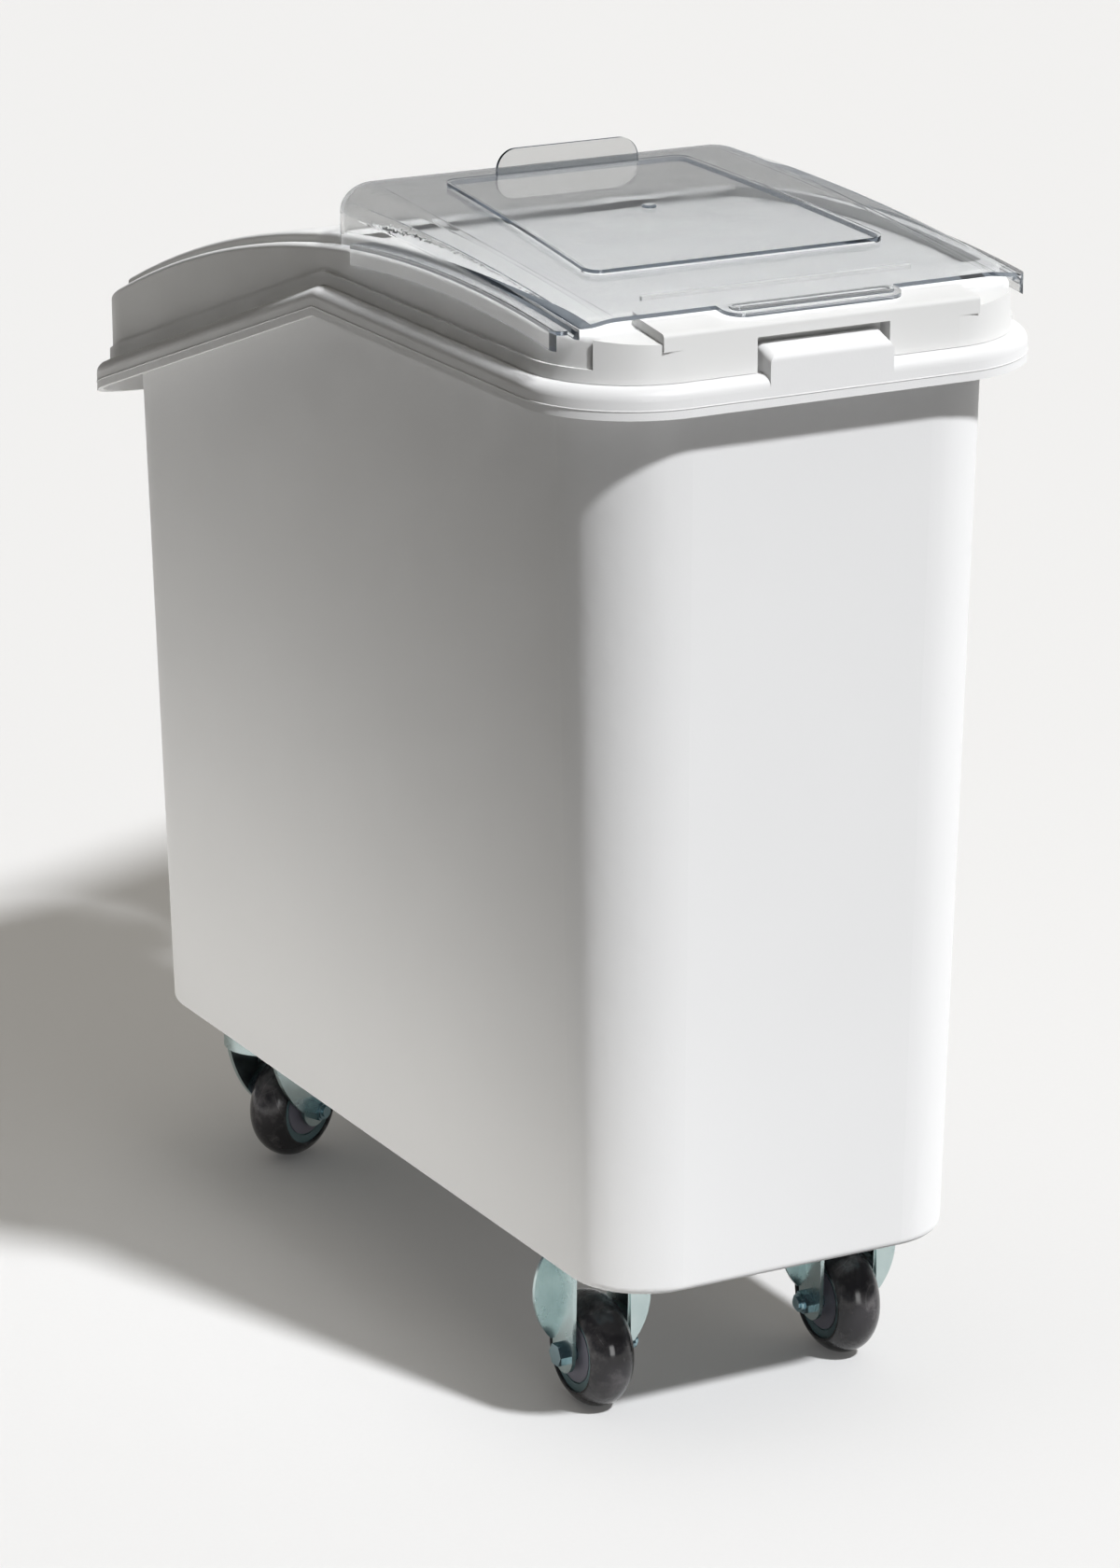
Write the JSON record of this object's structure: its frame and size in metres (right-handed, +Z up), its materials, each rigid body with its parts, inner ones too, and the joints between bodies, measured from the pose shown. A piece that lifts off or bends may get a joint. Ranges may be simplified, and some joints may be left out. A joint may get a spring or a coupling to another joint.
{
  "type": "mobile ingredient bin",
  "caption": "Deep white ingredient bin on casters with a slant-top frame and a clear cover that slides back over a closed hood",
  "frame": {"origin": "on the floor under the middle of the tub rim's outline", "axes": "+Z up; -Y faces the high front end with the boss and the cover's lip; +X is to the right of someone who looks along +Y"},
  "size_m": [0.33, 0.728, 0.7464],
  "materials": {
    "white_plastic": "smooth moulded, satin",
    "clear_plastic": "clear, glossy",
    "tread_rubber": "smooth, semi-gloss",
    "core_plastic": "moulded",
    "disc_plastic": "moulded",
    "zinc_steel": "bright zinc plated",
    "bearing_plastic": "moulded",
    "ball_steel": "polished"
  },
  "bodies": {
    "tub_body": {"tub": "white_plastic", "rigid_fork_front_left": "zinc_steel", "rigid_fork_front_right": "zinc_steel", "swivel_plate_rear_left": "zinc_steel", "swivel_plate_rear_right": "zinc_steel", "rigid_axle_sleeves": "zinc_steel", "rigid_axle_bolts": "zinc_steel", "rigid_axle_nuts": "zinc_steel", "king_pins": "zinc_steel", "caster_bolts": "zinc_steel", "caster_washers": "zinc_steel", "caster_nuts": "zinc_steel"},
    "frame_body": {"lid_frame": "white_plastic"},
    "cover_body": {"clear_cover": "clear_plastic", "inner_panel": "white_plastic"},
    "wheel_front_left": {"tread_front_left": "tread_rubber", "wheel_core_front_left": "core_plastic", "bearing_front_left": "bearing_plastic", "dust_covers_front_left": "disc_plastic"},
    "wheel_front_right": {"tread_front_right": "tread_rubber", "wheel_core_front_right": "core_plastic", "bearing_front_right": "bearing_plastic", "dust_covers_front_right": "disc_plastic"},
    "wheel_rear_left": {"tread_rear_left": "tread_rubber", "wheel_core_rear_left": "core_plastic", "bearing_rear_left": "bearing_plastic", "dust_covers_rear_left": "disc_plastic"},
    "swivel_rear_left": {"swivel_fork_rear_left": "zinc_steel", "swivel_balls_rear_left": "ball_steel", "axle_sleeve_rear_left": "zinc_steel", "axle_bolt_rear_left": "zinc_steel", "axle_nut_rear_left": "zinc_steel"},
    "wheel_rear_right": {"tread_rear_right": "tread_rubber", "wheel_core_rear_right": "core_plastic", "bearing_rear_right": "bearing_plastic", "dust_covers_rear_right": "disc_plastic"},
    "swivel_rear_right": {"swivel_fork_rear_right": "zinc_steel", "swivel_balls_rear_right": "ball_steel", "axle_sleeve_rear_right": "zinc_steel", "axle_bolt_rear_right": "zinc_steel", "axle_nut_rear_right": "zinc_steel"}
  },
  "joints": [
    {"name": "frame_lift", "type": "slide", "parent": "tub_body", "child": "frame_body", "axis": [0, 0, 1], "range_m": [0, 0.12]},
    {"name": "cover_slide", "type": "hinge", "parent": "frame_body", "child": "cover_body", "pos_m": [0, -0.184, -0.495], "axis": [-1, 0, 0], "range_deg": [0, 13.4]},
    {"name": "wheel_spin_front_left", "type": "hinge", "parent": "tub_body", "child": "wheel_front_left", "pos_m": [-0.088, -0.236, 0.0365], "axis": [1, 0, 0], "continuous": true},
    {"name": "wheel_spin_front_right", "type": "hinge", "parent": "tub_body", "child": "wheel_front_right", "pos_m": [0.088, -0.236, 0.0365], "axis": [1, 0, 0], "continuous": true},
    {"name": "swivel_turn_rear_left", "type": "hinge", "parent": "tub_body", "child": "swivel_rear_left", "pos_m": [-0.088, 0.228, 0.09], "axis": [0, 0, 1], "continuous": true},
    {"name": "wheel_spin_rear_left", "type": "hinge", "parent": "swivel_rear_left", "child": "wheel_rear_left", "pos_m": [-0.06262, 0.23983, 0.0365], "axis": [0.4226, -0.9063, 0], "continuous": true},
    {"name": "swivel_turn_rear_right", "type": "hinge", "parent": "tub_body", "child": "swivel_rear_right", "pos_m": [0.088, 0.228, 0.09], "axis": [0, 0, 1], "continuous": true},
    {"name": "wheel_spin_rear_right", "type": "hinge", "parent": "swivel_rear_right", "child": "wheel_rear_right", "pos_m": [0.10881, 0.24674, 0.0365], "axis": [0.6691, -0.7431, 0], "continuous": true}
  ]
}
